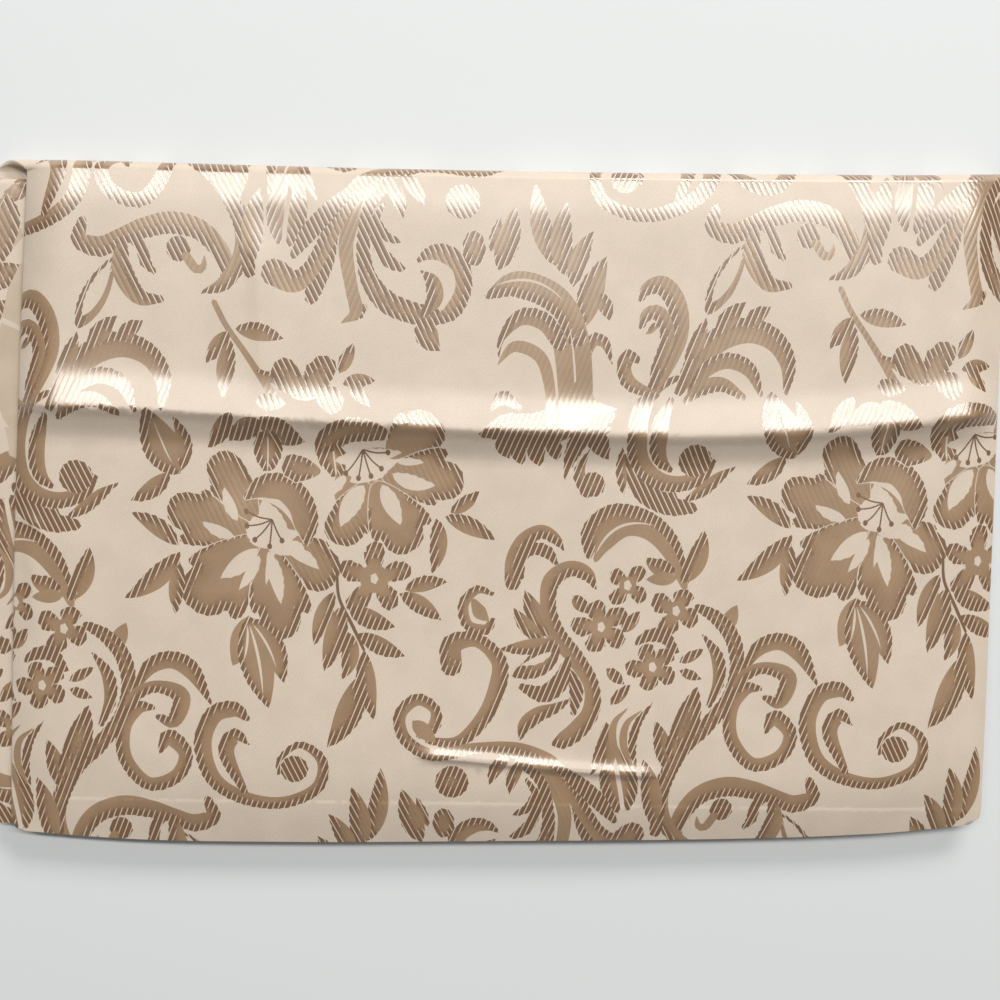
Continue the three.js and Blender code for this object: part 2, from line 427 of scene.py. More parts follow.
def veined(base, tip, wide, bow=0, vein=1.0):
    """A leaf in two halves along a bare vein, with the binding lines slanting out from it."""
    line, half = leaf_lines(base, tip, wide, bow)
    line, half = line[1:-1], half[1:-1]
    left, right, _, _ = two_sides(line, half, 1, "both")
    inner_left, inner_right, _, _ = two_sides(line, np.minimum(half * 0.5, vein / 2), 1, "both")
    made = []
    for outer, inner, slant in ((left, inner_left, 1), (right[::-1], inner_right[::-1], -1)):
        edge = np.concatenate([line[:1], outer, line[-1:], inner[::-1]])
        rim = np.concatenate([[THIN], np.full(len(outer), wide * 0.26), [THIN], np.full(len(inner), THIN)])
        if slant < 0:
            edge, rim = edge[::-1], rim[::-1]
        made.append(shape(edge, rim, slant if tip[1] > base[1] else -slant))
    return made


def band(rows, rim=None, bound="outer", slant=1, teeth=0):
    """A scroll or stem through rows of (x, y, width), with round ends where it is wide. teeth are
    barbs along its left side."""
    c = curve_through(rows)
    line, half = c[:, :2], np.maximum(c[:, 2], 0.3) / 2
    rim = rim or 0.42 * 2 * float(half.max())
    left, right, rim_left, rim_right = two_sides(line, half, rim, bound)
    if teeth:
        share = np.linspace(0, 1, len(line))
        lobe = 0.75 * (teeth * share % 1) ** 1.4 * ease(8 * share) * ease(6 * (1 - share))
        left = left + (left - line) * lobe[:, None]

    def cap(end, before):
        if half[end] < 1.2:
            return np.empty((0, 2))
        start = math.atan2(*(line[end] - line[before])[::-1]) + math.pi / 2
        steps = max(2, round(math.pi * half[end] / STEP))
        angles = start - math.pi * np.arange(1, steps) / steps
        return line[end] + half[end] * np.stack([np.cos(angles), np.sin(angles)], 1)

    far_cap, near_cap = cap(-1, -2), cap(0, 1)
    rims = [rim_left, np.full(len(far_cap), rim), rim_right, np.full(len(near_cap), rim)]
    return shape(np.concatenate([left, far_cap, right, near_cap]), np.concatenate(rims), slant)


def stem(rows):
    """A thin dark stem with no binding lines."""
    return band(rows, rim=3.0, bound="both", slant=0)


def petal(heart, turn, root, reach, wide, lobes=2, lean=0, rim=4.5, slant=1):
    """One petal of a flower: from root to reach out of its heart, in the direction turn, with a
    scalloped far edge that carries the binding lines. lean bends it to its left."""
    length = reach - root
    angles = np.linspace(-math.pi, math.pi, max(16, round(2.9 * length / STEP)), endpoint=False)
    along = 0.5 + 0.5 * np.cos(angles)
    scallop = np.abs(np.cos(lobes * angles * 0.75 + 0.35)) ** 0.7
    ruffle = 1 + 0.22 * (scallop - 0.75) * ease(along * 1.7 - 0.3)
    out = root + length * along * ruffle
    belly = np.sign(np.sin(angles)) * np.abs(np.sin(angles)) ** 0.85
    half = wide / 2 * belly * (0.40 + 0.78 * along) * ruffle + lean * along**2
    way = math.radians(turn)
    x = heart[0] + out * math.cos(way) - half * math.sin(way)
    y = heart[1] + out * math.sin(way) + half * math.cos(way)
    return shape(np.stack([x, y], 1), rim * (0.06 + 0.94 * ease(along * 1.5 - 0.35)), slant)


def overlapping(petals, gap=0.5):
    """Petals that lie over each other, each with a narrow line of bare ground round it."""
    made = []
    for one in petals:
        run = np.roll(one.edge, -1, 0) - np.roll(one.edge, 1, 0)
        run /= np.hypot(*run.T)[:, None]
        turning = np.sign(np.sum(run[:, 0] * np.roll(run[:, 1], -1) - run[:, 1] * np.roll(run[:, 0], -1)))
        grown = one.edge + gap * turning * np.stack([run[:, 1], -run[:, 0]], 1)
        made += [shape(grown[::2], THIN, 1, ground=True), one]
    return made


def disc(x, y, wide, tall=None, rim=9.0, slant=1, ground=False):
    angles = np.arange(0, 2 * math.pi, min(STEP / wide * 2, 0.62))
    rx, ry = wide / 2, (tall or wide) / 2
    return shape(np.stack([x + rx * np.cos(angles), y + ry * np.sin(angles)], 1), rim, slant, ground)


def stroke(base, tip, wide, bow=0):
    """A gap of bare ground inside a petal or a leaf."""
    return leaf(base, tip, wide, bow, ground=True)


def small_flower(x, y, reach, petals, turn, wide, slant=1):
    """A small open blossom with a bare eye. wide is a petal's width as a share of its reach."""
    made = []
    for i in range(petals):
        size = reach * (1 + 0.07 * math.sin(2.3 * i + x))
        way = turn + 360 * i / petals
        made.append(petal((x, y), way, reach * 0.1, size, reach * wide, rim=3.8, slant=slant))
    return made + [disc(x, y, reach * 0.8, rim=THIN), disc(x, y, 4.4, 6.0, ground=True)]


def stamens(root, heads):
    made = []
    for x, y in heads:
        middle = ((root[0] + x) / 2, (root[1] + y) / 2 - 1)
        made.append(stem([(*root, 0.9), (*middle, 0.9), (x, y, 0.9)]))
        made.append(disc(x, y, 2.8, 3.4, rim=4, slant=0))
    return made


def first_peony():
    heart = (-133, -16)
    turned = [disc(-140, -22, 52, 52, rim=THIN)] + overlapping([
        petal(heart, 163, 4, 53, 36, 3, 1, slant=-1),
        petal(heart, 119, 8, 50, 28, 2, 1, slant=-1),
        petal(heart, 325, 4, 46, 34, 2, 2, slant=-1),
        petal(heart, 225, 2, 56, 48, 3, 1, rim=6),
        petal(heart, 280, 4, 58, 37, 3, 1, rim=5.5),
        band([(-143, 4.5, 2), (-132, 10.5, 13), (-120, 9.5, 15), (-111.5, 0, 15), (-109, -12, 13),
              (-109, -22, 3)], rim=4.4, bound="outer"),
    ])
    bare = [
        stroke((-147, -8), (-154, 11), 6.5, 1),
        stroke((-149, -17), (-167, -8), 6.5, 1),
        stroke((-137, -24), (-158, -40), 10, 1),
        stroke((-136, -28), (-148, -47), 6, 1),
        stroke((-131, -26), (-125, -56), 8, 1),
        stroke((-128, -24), (-133, -45), 4),
        stroke((-121, -25), (-103, -37), 7.5, 2),
    ]
    eye = [disc(-131, -14, 23, 20, ground=True), disc(-121, -24, 20, 9, ground=True),
           stroke((-133, 3), (-118, -20), 12, -2), stroke((-141, -20), (-113, -16), 12)]
    heads = [(-142, -3), (-142, -11), (-138, -19), (-130, -23), (-123, -20)]
    return turned + eye + bare + stamens((-128, -8), heads)


def second_peony():
    heart = (-72, 16)
    turned = [disc(-68, 8, 50, 46, rim=THIN)] + overlapping([
        petal((-99, 18), 170, 1, 22, 18, 2, 0),
        band([(-99, 22, 3), (-96, 34, 13), (-84, 41, 14), (-69, 40, 11), (-60, 36, 3)], rim=4.5,
             bound="both"),
        petal(heart, 40, 12, 47, 34, 2, 0, slant=-1),
        petal(heart, 356, 6, 50, 36, 3, 0, slant=-1),
        petal(heart, 244, 5, 42, 30, 2, 0, slant=-1),
        petal(heart, 296, 5, 47, 38, 3, 2),
    ]) + veined((-93, 35), (-91, 13), 14)
    bare = [
        stroke((-76, 10), (-90, -13), 11, -1),
        stroke((-66, 10), (-56, -13), 9.5),
        stroke((-60, 16), (-36, 9), 8.5, -2),
        stroke((-58, 23), (-42, 22), 4.5),
    ]
    eye = [disc(-74, 20, 24, 16, ground=True), stroke((-92, 24), (-54, 28), 9),
           stroke((-84, 12), (-56, 24), 9), stroke((-86, 16), (-96, 4), 6)]
    return turned + eye + bare + stamens((-76, 30), [(-86, 17), (-79, 14), (-72, 15), (-66, 19), (-62, 28)])


def peony_leaves():
    return [
        leaf((-178, 19), (-193, 57), 21, 3, rim=5, bound="left"),
        stroke((-182, 25), (-190, 49), 0.9, 1),
        leaf((-177, 21), (-179, 51), 9, -3, rim=4, bound="right"),
        leaf((-184, 20), (-206, 5), 10, 2),
        leaf((-181, -21), (-206, -2), 10, -2, bound="right", slant=-1),
        leaf((-180, -25), (-212, -50), 12, 2.5, bound="right"),
        leaf((-180, -31), (-184, -60), 9, -1, slant=-1),
        leaf((-28, -7), (-11, 5), 8, -0.5),
        leaf((-31, -9), (-3, -23), 10, 1, bound="left", slant=-1),
        leaf((-36, -10), (-39.5, -41), 10, 2.4, bound="right"),
        leaf((-55, -50), (-31, -46), 9, 1.5, bound="left"),
        leaf((-58, -52), (-35, -68), 10, 1, bound="right"),
        leaf((-147, 53), (-162, 33), 10, 1, rim=8),
        leaf((-130, 47), (-150, 37), 12, -1, rim=9),
        leaf((-131, 50), (-108, 35), 14, -2, rim=9),
        *veined((-128, 44), (-129.5, 17), 16, vein=0.8),
    ]


def spray():
    """The hanging spray of leaves below the small flower, and the lobed leaf beside it."""
    return [
        stem([(-93, -40, 1.6), (-92, -54, 1.8), (-85, -70, 2.0), (-79, -84, 1.6)]),
        leaf((-95, -50), (-107, -80), 10, -1, bound="left"),
        leaf((-91, -58), (-102, -95), 12.5, 1),
        leaf((-88, -73), (-92, -100), 10, 3, bound="right"),
        leaf((-87, -59), (-61, -71), 11, -1.5, rim=8, bound="right"),
        leaf((-82, -74), (-56, -88), 10, -1, rim=7, bound="right"),
        leaf((-79, -84), (-74.5, -124), 11, -1.5, bound="right"),
        leaf((-83, -99), (-102, -139), 15, 3.5, bound="left"),
        leaf((-143, -62), (-153, -90), 14, 1, rim=THIN),
        leaf((-141, -64), (-125, -101), 14, 3, rim=3, bound="left"),
        leaf((-143, -62), (-134, -115), 19, -1, rim=3, bound="right"),
        stroke((-143, -67), (-137, -108), 1.6, 1.5),
        stroke((-141, -67), (-129, -92), 1.4, 1.5),
        stroke((-144, -67), (-147, -88), 1.4, 1.0),
    ]


def sprig():
    """The thin twig above the ridge, and the half-open flower at its foot."""
    return [
        band([(-154, 113, 3.2), (-148, 100, 3.2), (-139, 86, 3.4), (-129, 70, 4.2), (-122, 58, 5)],
             rim=THIN),
        leaf((-143, 98), (-117, 92), 10, 1, rim=4, bound="left"),
        leaf((-147, 97), (-160, 80), 9, rim=5),
        leaf((-146, 92), (-151, 60), 10, -1),
        leaf((-133, 75), (-117, 67), 5.5),
        disc(-106, 65, 20, 14, rim=THIN),
        petal((-106.5, 59.5), 128, 0, 24, 19, 2, rim=6, slant=-1),
        petal((-104.5, 59.5), 64, 0, 24, 19, 2, rim=6, slant=-1),
        petal((-101, 65), 322, 0, 18, 17, 2, rim=5, slant=-1),
        petal((-115, 56.5), 175, 2, 17, 12, 2, rim=4, slant=-1),
        leaf((-87, 72.5), (-78.5, 89), 7.5, rim=3),
        leaf((-85.5, 66.5), (-67.5, 68), 8, 1, rim=4, bound="right", slant=-1),
        leaf((-82.5, 65.5), (-71, 53.5), 7, 1, rim=4, slant=-1),
    ]


def c_scroll():
    """The scroll between the flowers, with the lumpy arches and the plume that spring from it."""
    return [
        band([(72, 22, 5), (80, 4, 12), (95, -6, 11), (109, -8, 6)], rim=11, bound="both", slant=-1,
             teeth=5),
        band([(101, 66, 3), (89, 60, 6), (80, 48, 10), (77, 34, 11), (79.5, 19, 11), (89, 9, 10),
              (101.5, 6, 9), (114, 10, 8), (120, 18, 5)]),
        band([(97, 54, 3), (90.5, 41, 9), (89, 28, 9.5), (91.5, 19, 7.5), (98, 13, 2)], rim=4),
        band([(106, -3, 3), (115, 2, 7), (124, 9, 6), (134, 15, 0.4)], rim=4),
        disc(110.5, 19, 18.5, slant=-1),
        leaf((70, 1), (69.5, 28), 6, 1, rim=4),
        band([(101, 58, 5), (111, 74, 12), (125, 87, 14), (141, 91, 14), (155, 85, 12), (162.5, 72, 9),
              (161.5, 56, 3)], rim=5, bound="left"),
        leaf((123, 90), (139, 106.5), 10, 1, rim=6),
        leaf((139, 93), (153, 103.5), 9, 1, rim=6),
        band([(108, 58, 5), (117, 70, 8), (129, 74.5, 9), (141, 69, 8), (147.5, 54, 2)], rim=2.4,
             bound="left"),
        band([(104, 52, 3), (113, 59, 8), (125, 61.5, 8), (137, 54, 4)], rim=3, bound="right"),
        band([(80, 108, 2), (84, 115, 7), (93, 116.5, 11), (100.5, 106, 11), (101, 89, 11), (92, 69, 9),
              (83, 55, 5)], rim=5, bound="right"),
        band([(80, 93, 2), (84, 101, 7), (91, 101, 8.5), (95, 88, 8), (88, 69, 6)], rim=4, bound="right"),
        band([(78, 76, 4), (73.5, 78.5, 8), (70.5, 72, 8), (74, 63, 8), (88, 56, 4)], rim=3),
        leaf((117, 100), (139.5, 139), 14),
        stroke((120.5, 107), (137.5, 136), 8.2),
        leaf((105, 74), (117, 98.5), 8.5, -1, rim=4),
        leaf((83, 90), (91.5, 97.5), 4),
    ]


def arch():
    """The hooked arch and its inner curls."""
    return [
        band([(-223, 158, 5), (-225, 148, 9), (-214, 144, 11), (-203, 149, 9), (-190, 153.5, 11),
              (-174, 156, 12), (-158, 150.5, 11), (-147.5, 136, 9), (-147, 122, 4)], bound="right",
             slant=-1),
        band([(-202, 147, 5), (-203, 132, 11), (-195, 117, 9), (-183, 115, 4)], rim=4.4, bound="left",
             slant=-1),
        band([(-199, 148, 3), (-192, 144, 6), (-190, 135, 6), (-185, 129, 2)], rim=5, bound="both",
             slant=-1),
        disc(-172, 142, 13, 14, slant=-1),
        band([(-168, 138, 5), (-163, 131, 5), (-159, 132, 4), (-158, 138, 0.6)], rim=THIN),
        band([(-152, 184, 3), (-143, 171, 7), (-137, 155, 9), (-138, 138, 9), (-148, 123, 8),
              (-161, 118, 1)]),
    ]


def fan():
    """The acanthus fan with its S-curve and prongs."""
    return [
        *veined((-115, 141), (-107, 186), 22, 1, vein=2.6),
        band([(-80, 102, 2), (-75, 104.5, 5), (-72, 109, 3)], rim=3, bound="both", slant=-1),
        band([(-63, 176, 6), (-75, 160, 8), (-81, 142, 8), (-79, 120, 7), (-77, 106, 7), (-85, 100, 0.6)],
             rim=THIN),
        band([(-101, 114, 7), (-98.5, 121, 10), (-93, 135, 11), (-88, 150, 7)], rim=9, bound="both",
             slant=-1),
        band([(-113, 142, 0.6), (-105, 146, 4.5), (-96, 153, 5.5), (-89, 161, 4), (-83, 169, 2)], rim=4,
             bound="both", slant=-1),
        band([(-120, 128, 15), (-110, 123, 12), (-101, 129, 9.5), (-93.5, 141, 9), (-85, 156, 9),
              (-75, 170, 9), (-61, 179, 8), (-43, 183, 6)], rim=4.6, bound="left", slant=-1),
        band([(-56, 176, 6), (-68, 162, 6), (-71.5, 144, 7), (-70, 126, 9), (-61.5, 112.5, 12),
              (-50, 106, 12), (-38.5, 103, 11), (-29, 102.5, 6)], rim=4, bound="both", slant=-1),
        band([(-34, 99.5, 4), (-24, 105, 9), (-17.5, 117, 9), (-19, 130, 10), (-28.5, 137, 10),
              (-37.5, 136, 6), (-43, 131.5, 0.6)], rim=4.6, bound="right", slant=-1),
        band([(-40.5, 127.5, 0.6), (-34.5, 121.5, 8), (-33.5, 112, 9), (-40, 104, 4)], rim=5, bound="right"),
        leaf((-39.5, 102), (-31, 83.5), 13, -3, rim=5, bound="right", slant=-1),
        band([(-59, 165, 2), (-65, 154, 5), (-64, 143, 6), (-58, 133, 7), (-51, 129, 4)], rim=4.5,
             bound="both", slant=-1),
        band([(-63, 155, 2.5), (-59.5, 147, 5), (-52.5, 143.5, 3)], rim=3.5, bound="both", slant=-1),
        leaf((-58, 177), (-49.5, 156), 8, 2, rim=5, slant=-1),
        leaf((-50, 180), (-38, 162), 8, 2, rim=5, slant=-1),
    ]


def plumes():
    """The two big plumes on their trunk, with the leaves that crown them."""
    return [
        disc(-16.5, 164.5, 19, 19, rim=7, slant=-1),
        disc(-11, 139, 12.5, 19, rim=3),
        leaf((-2, 137), (4, 156), 5.5),
        leaf((2, 127), (12, 161), 13, -1, bound="right"),
        leaf((33, 129), (24, 174), 11.5, 2.5, bound="right"),
        leaf((39, 123), (41, 163), 12.5, 3, bound="right"),
        leaf((43, 117), (55, 147), 10.5, 2.4, bound="right"),
        leaf((49, 95), (62, 133), 14, 2.4, rim=4),
        leaf((57, 113), (63, 98), 8.5, 1),
        band([(50, 74, 0.4), (53, 87, 7), (60, 86, 6), (64, 74, 0.4)], rim=4),
        band([(-9, 37, 4), (4, 40, 16), (20, 38, 20), (38, 43, 18), (60, 46, 10)], rim=11, bound="both"),
        leaf((0, 36), (5.5, 23), 9, rim=9),
        leaf((9, 33), (13, 19), 9, rim=9),
        leaf((19, 33), (23, 18), 10, rim=9),
        leaf((29, 35), (33, 21), 9, rim=9),
        band([(45, 42, 14), (46, 64, 14), (45, 84, 14), (41.5, 99, 14)], rim=THIN),
        band([(44, 90, 12), (39, 104, 14), (28, 114, 15.5), (11, 119, 14), (-4, 113, 4)], rim=5,
             bound="left"),
        stroke((0, 118.5), (38, 109), 1.4, 7),
        band([(37, 42, 7), (37.5, 62, 8), (36, 84, 9), (32, 93, 8)], rim=THIN),
        stroke((42.5, 50), (40.5, 96), 1.2, -1.5),
        band([(35, 86, 8), (27, 98, 10), (14, 101, 9), (3, 90, 4), (1, 79, 0.4)], rim=5, bound="right"),
        band([(46, 62, 8), (51, 51, 10), (66, 49, 0.6)], rim=THIN),
        band([(29, 42, 5), (29, 62, 6), (24, 79, 7), (10, 85, 6), (0, 75, 0.5)], rim=THIN),
        band([(-4, 50, 1), (3, 57, 8), (12, 51, 3)], rim=3),
        band([(60, 38, 5), (48, 36, 10), (41.5, 26, 9), (36.5, 10, 0.4)], rim=6, bound="both"),
        leaf((50, 40), (61.5, 21), 11.5, rim=7, bound="both"),
        band([(51, 27, 0.4), (45, 14, 6.5), (49, 3, 7)], rim=4),
        disc(52.5, 7, 14, rim=6),
    ]


def cartouche():
    """The heart-shaped frame of small flowers."""
    flowers = [(-72, -43, 20.5, 5, 88, 0.68), (71.5, -51, 12.5, 4, 50, 0.9), (99, -66.5, 14, 4, 62, 1.0),
               (56, -74.5, 15.5, 5, 105, 0.86), (85, -98.5, 14, 5, 40, 0.9)]
    made = []
    for flower in flowers:
        made += small_flower(*flower)
    return made + [
        band([(76, -84.5, 3), (82.5, -80.5, 7), (91.5, -81, 8), (98.5, -89.5, 4)], rim=6, bound="both"),
        band([(49.5, -33.5, 4), (52, -20.5, 13), (63, -11, 13), (77, -10.5, 9), (90, -17.5, 8), (99, -30, 7),
              (105, -50.5, 3)], rim=7, bound="left"),
        band([(53.5, -36, 3), (59, -27, 8), (71, -19, 8), (84, -21.5, 8), (95, -33, 7), (104, -52.5, 4)],
             rim=THIN),
        stroke((53.5, -33), (88, -17.5), 1.6, 8.5),
        leaf((99, -43), (82, -35.5), 10, 2, rim=5, bound="right"),
        leaf((100, -47.5), (82, -48), 8, rim=THIN),
        leaf((102, -50.5), (115.5, -20.5), 12, -3),
        leaf((40, -56), (49, -66.5), 8, rim=5),
        leaf((68, -78), (78.5, -66), 7.5, rim=5),
        leaf((100.5, -96.5), (115, -89), 6, rim=5),
        leaf((100.5, -101), (113, -106.5), 6, rim=5),
        leaf((58.5, -98.5), (68.5, -108), 7, rim=5),
        leaf((60.5, -119.5), (72, -108), 6.5, rim=5),
        band([(6, -47.5, 9), (7, -34.5, 9), (13.5, -23.5, 9), (23.5, -19, 8), (31.5, -24, 6),
              (35.5, -30, 0.6)], rim=4.6, bound="right"),
        band([(11, -45, 3), (11.5, -33.5, 6), (18.5, -28.5, 7), (26.5, -31, 7), (31.5, -38, 2)], rim=6,
             bound="both"),
        band([(53.5, -53, 0.8), (48.5, -44, 8), (38.5, -40.5, 9), (28, -47.5, 10), (26, -61.5, 9),
              (29.5, -77, 11), (40.5, -91.5, 10), (49.5, -107.5, 9), (49, -123, 10), (40.5, -134, 11),
              (31.5, -140, 9), (26.5, -141, 2)], rim=4.4, bound="left"),
        leaf((25.5, -79), (13, -52), 11, 1, rim=4.5, slant=-1),
        leaf((23.5, -81), (6.5, -62), 9, 2, rim=4, slant=-1),
        leaf((30.5, -82), (-2, -85.5), 9, 1, rim=4, bound="left"),
        leaf((31.5, -84), (3.5, -101), 14, 3, rim=4.5, bound="both"),
        stroke((27.5, -88), (10, -95), 4.5, 1),
        band([(36.5, -92.5, 4), (32, -105, 10), (22, -112, 10), (9.5, -107.5, 4)], rim=7, bound="both"),
        band([(38.5, -100, 3), (41, -111.5, 8), (39, -124, 3)], rim=7, bound="both", slant=-1),
        band([(38, -115.5, 1), (28.5, -120.5, 6), (18.5, -124, 9), (11, -130, 8), (8, -138.5, 1)], rim=5,
             bound="left"),
    ]


def foot():
    """The stem that frames the cartouche on its right, and the leaves at its foot."""
    return [
        leaf((126, -80), (134, -64), 9, rim=THIN),
        band([(112, -65, 5), (122.5, -71.5, 8), (131.5, -84, 9), (133.5, -101, 8), (128, -118.5, 8),
              (115.5, -133.5, 9), (103, -145.5, 8), (94, -160, 8), (88.5, -175.5, 8), (86, -197, 7)],
             rim=3.6, bound="both"),
        band([(114, -80.5, 1), (122, -93, 7), (123, -107.5, 7), (117, -122, 3)], rim=5),
        leaf((96, -149.5), (110.5, -110.5), 15, -1, rim=5, bound="both"),
        leaf((91.5, -158), (86, -129.5), 10, -1, rim=5),
        leaf((84, -192.5), (78.5, -152), 12, -2, rim=5),
        leaf((48, -160), (56, -131), 5, -1.5, rim=4),
        leaf((56, -159), (57.5, -129), 10, -2, rim=4),
        band([(70, -122, 0.6), (62.5, -130, 3.6), (61.5, -142, 4.6), (67, -155, 2)], rim=THIN),
        band([(78, -123.5, 0.6), (69.5, -131, 3.6), (67.5, -143, 4.4), (72.5, -156, 1)], rim=THIN),
        band([(85, -119, 0.6), (76, -130.5, 4.4), (72.5, -144, 4.6), (74.5, -157, 1)], rim=5, bound="both"),
        leaf((94, -152), (96.5, -135), 7, rim=4),
    ]


def small_scrolls():
    """The three rolled scrolls along the lower half: one with a long tail, one ring, one open C."""
    return [
        band([(-5, -54, 2), (-14, -51, 5), (-22, -59, 6), (-20, -71, 6), (-10, -74, 6), (-6, -69, 4)],
             rim=3),
        band([(-16, -58, 4), (-13, -64, 8), (-9, -68, 3)], rim=THIN),
        band([(-30, -94, 12), (-29, -82, 12), (-15, -80, 8), (-3, -92, 9), (-4, -107, 10), (-12, -124, 9),
              (-27, -138, 7), (-44, -137, 4)], rim=4.4, bound="left"),
        band([(-50, -134, 3), (-41, -129, 7), (-40, -119, 6), (-50, -113, 7), (-60, -122, 7), (-57, -136, 7),
              (-42, -145, 7), (-18, -142, 6), (6, -143, 7), (24, -150, 7), (31, -155.5, 4)], rim=3.6,
             bound="right"),
        band([(29, -154, 5), (42, -165.5, 9), (53, -177, 9.5), (62, -189, 4)], rim=9, bound="both"),
        leaf((-53, -125), (-40, -138), 9, rim=THIN),
        band([(138, -100, 4), (147, -89, 9), (159, -86, 10), (170, -93, 10), (180, -112, 1)], rim=5,
             bound="left"),
        band([(131, -116, 6), (138, -105, 7), (150, -101, 7), (163, -107, 10), (158, -121, 8),
              (149, -118, 3)], bound="right"),
        band([(148, -113, 2), (138, -113, 8), (130, -124, 8), (130, -142, 8), (142, -157, 8), (158, -153, 8),
              (164, -140, 8), (155, -130, 9), (150, -138, 3)], bound="right"),
        band([(200, -121, 3), (193, -115, 9), (181, -118, 10), (174, -134, 10), (179, -155, 9),
              (195, -167, 8), (217, -171, 7), (237, -163, 7), (241, -147, 6), (229, -137, 4), (217, -145, 3),
              (216, -154, 1.5)], bound="right"),
        band([(200, -136, 0.5), (193, -130, 8), (187, -140, 9), (196, -163, 4)]),
        disc(225, -151, 15.6, slant=-1),
    ]


DESIGN = (
    first_peony() + second_peony() + peony_leaves() + spray() + sprig() + c_scroll() + arch() + fan()
    + plumes() + cartouche() + foot() + small_scrolls()
)


def on_cloth(point):
    """From the design's own axes to the cloth's u and v."""
    x, y = point[:, 0], point[:, 1]
    return np.stack([x * math.cos(SKEW) - y * math.sin(SKEW), x * math.sin(SKEW) + y * math.cos(SKEW)], 1)


def in_design(point):
    """From the cloth's u and v to the design's own axes."""
    u, v = point[:, 0], point[:, 1]
    return np.stack([u * math.cos(SKEW) + v * math.sin(SKEW), v * math.cos(SKEW) - u * math.sin(SKEW)], 1)


def woven_in(windows):
    """Every repeat of every motif that touches one of the windows (u0, u1, v0, v1) of the cloth."""
    found = []
    rows = range(-1, 6)
    columns = range(-3, 4)
    for j in rows:
        for motif in DESIGN:
            edge = motif.edge.copy()
            if j % 2:
                edge[:, 0] = GLIDE_ACROSS - edge[:, 0]
            for k in columns:
                home = np.array([k * REPEAT, j * GLIDE_ALONG])
                moved = on_cloth(edge + home)
                low, high = moved.min(0), moved.max(0)
                if any(high[0] > a and low[0] < b and high[1] > c and low[1] < d for a, b, c, d in windows):
                    copy = SimpleNamespace(motif=motif, edge=moved, low=low, high=high)
                    copy.home, copy.mirrored = home, j % 2
                    found.append(copy)
    return found


def inside(edge, points):
    """Which points lie inside a closed outline, by its winding."""
    a, b = edge, np.roll(edge, -1, 0)
    x, y = points[:, :1], points[:, 1:]
    up = (a[:, 1] <= y) & (b[:, 1] > y)
    down = (a[:, 1] > y) & (b[:, 1] <= y)
    cross = (b[:, 0] - a[:, 0]) * (y - a[:, 1]) - (x - a[:, 0]) * (b[:, 1] - a[:, 1])
    return (up & (cross > 0)).sum(1) != (down & (cross < 0)).sum(1)


def depth_in(edge, rim, points):
    """How deep points lie in an outline, as a share of the depth of the bound rim nearest to them."""
    bound = rim > THIN
    if not bound.any():
        return np.full(len(points), 9.0)
    a, run = edge[bound], (np.roll(edge, -1, 0) - edge)[bound]
    off = points[:, None] - a
    t = np.clip((off * run).sum(2) / np.maximum((run * run).sum(1), 1e-9), 0, 1)
    gap = np.hypot(*(off - t[:, :, None] * run).transpose(2, 0, 1))
    return (gap / rim[bound]).min(1)


# ---- The cloth's mesh ---------------------------------------------------------------------------
# One closed sheet. Its face is cut along the outlines of the weave's floats, so that they stay
# sharp close up, and its back is plain. Floats, ground and back each have their own yarn finish.

MM = 0.001
FACE_WINDOWS = [(-300, 305, -204, 600), (-345, -270, 600, 1600), (272, 300, 600, 1600)]
RIM_MARGIN = 0.86  # a rim point counts if no other edge is nearer than this share of its depth
HEM_END = -199.0  # roughly where the cloth's first end lies, from which its true line is found
END_POINTS = 220  # along each cut end of the cloth
SIDE_PITCH = 12.0  # between the points of its long edges
TOP_PANEL = dict(u_span=(-268, 284), v_span=(-197, 178))
UNDER_PANEL = dict(u_span=(-274, 282), v_span=(205, 570))
INNER_PANELS = dict(u_span=(-545, 550), v_span=(580, 1330))
HIDDEN_PANELS = dict(u_span=(-545, 550), v_span=(205, 1330))
HEM_LINES = (-0.6, 0.2, 0.8, 1.5, 2.4)
RIDGE_LINES = (-14, -10, -7, -4, -2, 0, 2, 5, 9, 14, 20, 27)  # of the back, which is coarser


class Plan:
    """The points and forced edges of a flat triangulation."""

    def __init__(self):
        self.points, self.edges, self.count = [], [], 0

    def add(self, points, joined=False, closed=False):
        first, n = self.count, len(points)
        self.points.append(points)
        self.count += n
        if joined:
            ends = np.arange(n if closed else n - 1)
            self.edges.append(np.stack([first + ends, first + (ends + 1) % n], 1))

    def triangulate(self):
        points = [Vector(p) for p in np.concatenate(self.points)]
        edges = np.concatenate(self.edges).tolist()
        made = geometry.delaunay_2d_cdt(points, edges, [], 0, 1e-4, False)
        return np.array([tuple(p) for p in made[0]]), np.array(made[2])


def strip(v, u):
    return np.stack([u, v], 1)


def border():
    """The cloth's four edges as one closed outline: hem end, right lip, inner end, left lip."""
    span = np.linspace(0, 1, END_POINTS)
    v0, v1 = HEM_END, float(leg_starts(np.zeros(1))[-1][0])
    lip_left, _, _, lip_right = fold_lines(np.array([v0, v1]))

    def end(lips, which):
        u = lips[0] + (lips[1] - lips[0]) * span
        v = np.full_like(u, v0 if which == 0 else v1)
        for _ in range(3):
            x = lie(u, v, 0)[:, 0]
            v = leg_starts(x)[which]
        return np.stack([u, v], 1)

    hem = end((lip_left[0], lip_right[0]), 0)
    last = end((lip_left[1], lip_right[1]), -1)
    v = np.arange(hem[-1, 1] + 8, last[-1, 1] - 4, SIDE_PITCH)
    right = strip(v, fold_lines(v)[3])
    v = np.arange(hem[0, 1] + 8, last[0, 1] - 4, SIDE_PITCH)
    left = strip(v, fold_lines(v)[0])
    return np.concatenate([hem, right, last[::-1], left[::-1]])


